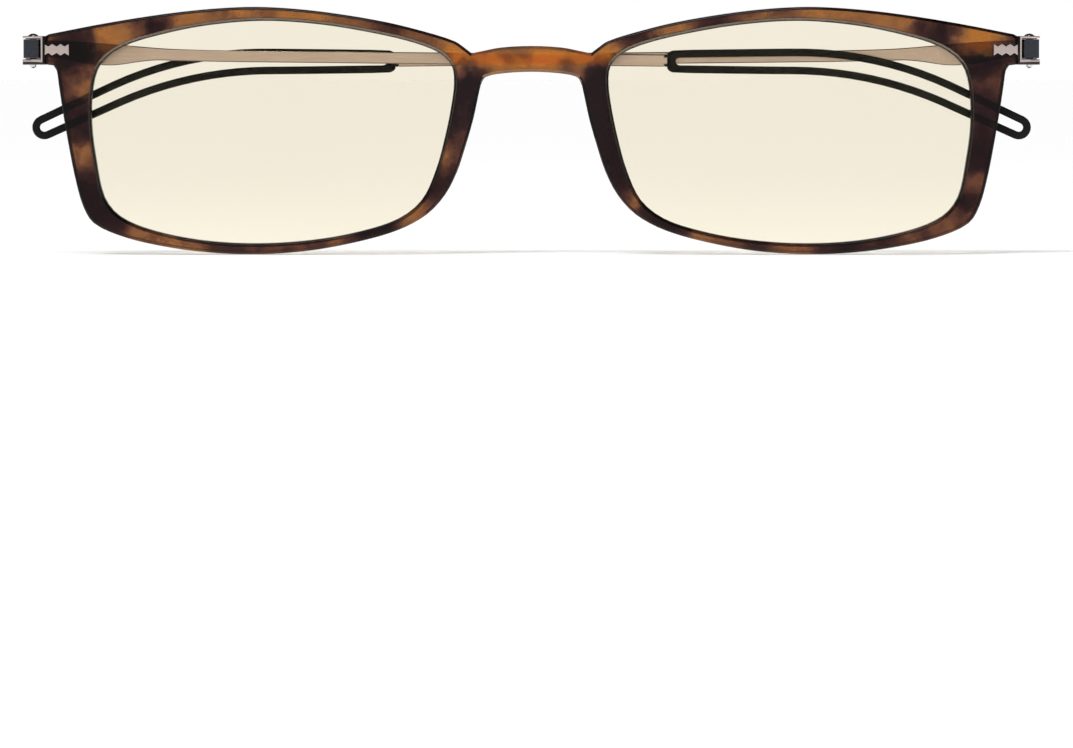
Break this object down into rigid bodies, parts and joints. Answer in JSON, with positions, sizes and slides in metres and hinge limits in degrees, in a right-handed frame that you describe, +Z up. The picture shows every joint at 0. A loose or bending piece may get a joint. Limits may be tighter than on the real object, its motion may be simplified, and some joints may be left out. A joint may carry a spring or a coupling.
{
  "type": "folding blue light glasses",
  "caption": "Slim rectangular glasses with a moulded tortoiseshell front, tinted lenses, flat steel folding temples and rubber loop tips, drawn folded.",
  "frame": {"origin": "middle of the nose bridge's underside, half-way through the front's thickness", "axes": "+X across the face to the wearer's left, -Y out of the front, +Z up as worn"},
  "size_m": [0.1382, 0.0047, 0.0336],
  "materials": {
    "tortoiseshell": "polished translucent brown and amber tortoiseshell",
    "lens": "clear with a faint warm blue-filtering tint",
    "hinge_steel": "fine satin",
    "screw_steel": "polished",
    "washer_nylon": "black nylon",
    "knuckle_steel": "dark blackened steel",
    "temple_steel": "satin, brushed along its length",
    "core_steel": "plain spring wire",
    "tip_rubber": "matt black"
  },
  "bodies": {
    "front": {"front_frame": "tortoiseshell", "right_lens": "lens", "left_lens": "lens", "right_end_piece": "hinge_steel", "left_end_piece": "hinge_steel", "right_hinge_screw": "screw_steel", "left_hinge_screw": "screw_steel", "right_upper_washer": "washer_nylon", "left_upper_washer": "washer_nylon", "right_lower_washer": "washer_nylon", "left_lower_washer": "washer_nylon"},
    "right_temple": {"right_knuckle": "knuckle_steel", "right_temple_arm": "temple_steel", "right_tip_core": "core_steel", "right_tip_sleeve": "tip_rubber"},
    "left_temple": {"left_knuckle": "knuckle_steel", "left_temple_arm": "temple_steel", "left_tip_core": "core_steel", "left_tip_sleeve": "tip_rubber"}
  },
  "joints": [
    {"name": "right_temple_hinge", "type": "hinge", "parent": "front", "child": "right_temple", "pos_m": [-0.0677, 0.00025, 0.0031], "axis": [0, 0, 1], "range_deg": [0, 93]},
    {"name": "left_temple_hinge", "type": "hinge", "parent": "front", "child": "left_temple", "pos_m": [0.0677, 0.00025, 0.0031], "axis": [0, 0, -1], "range_deg": [0, 93]}
  ]
}
